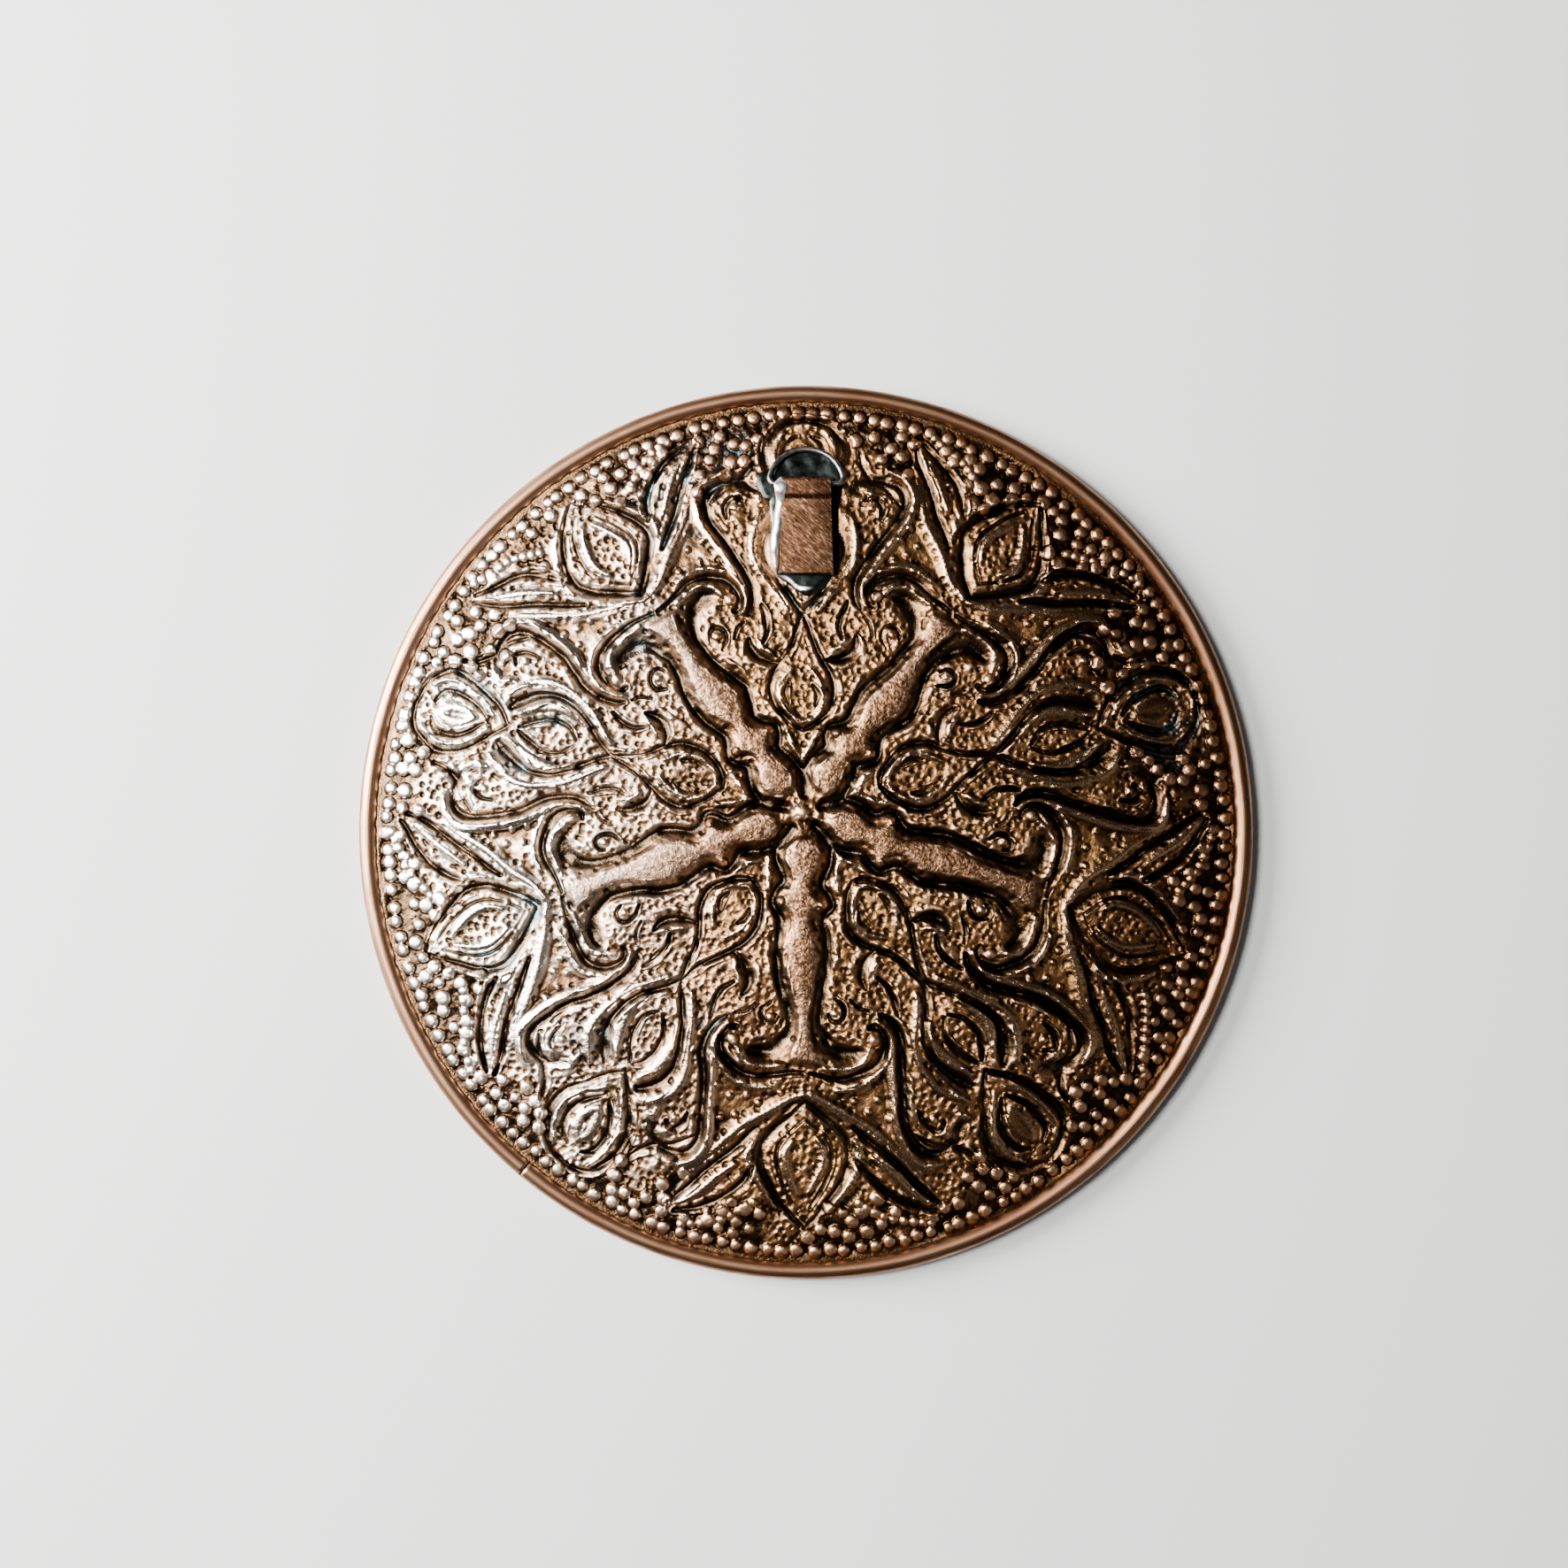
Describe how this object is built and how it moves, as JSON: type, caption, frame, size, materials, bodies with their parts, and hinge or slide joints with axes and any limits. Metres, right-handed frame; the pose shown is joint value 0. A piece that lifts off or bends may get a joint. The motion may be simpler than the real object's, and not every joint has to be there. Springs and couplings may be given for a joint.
{
  "type": "round hanging mirror",
  "caption": "Round hanging mirror with a domed, chased copper back, a rolled copper rim and a swinging wire D-ring in a soldered strap.",
  "frame": {"origin": "middle of the rim's front edge, where the mirror rests when it lies on its face", "axes": "+Z out of the chased back, +Y towards the hanger, +X to the right seen from the back"},
  "size_m": [0.165, 0.165, 0.011],
  "materials": {
    "rim_copper": "worn reddish copper with a brown patina",
    "plate_copper": "chased copper, dark oxide in the grooves",
    "strap_copper": "scratched copper",
    "solder": "dull soft solder",
    "glass": "clear polished glass",
    "silvering": "silvered",
    "board": "plain card",
    "ring_steel": "dark tarnished steel wire"
  },
  "bodies": {
    "mirror": {"rim_channel": "rim_copper", "rim_seam_solder": "solder", "mirror_glass": "glass", "mirror_silvering": "silvering", "backing_board": "board", "back_plate": "plate_copper", "hanger_strap": "strap_copper", "leaf_solder": "solder", "solder_bed": "solder"},
    "ring": {"hanger_ring": "ring_steel"}
  },
  "joints": [
    {"name": "ring_swing", "type": "hinge", "parent": "mirror", "child": "ring", "pos_m": [0, 0.06371, 0.00766], "axis": [1, 0, 0], "range_deg": [0, 174]}
  ]
}
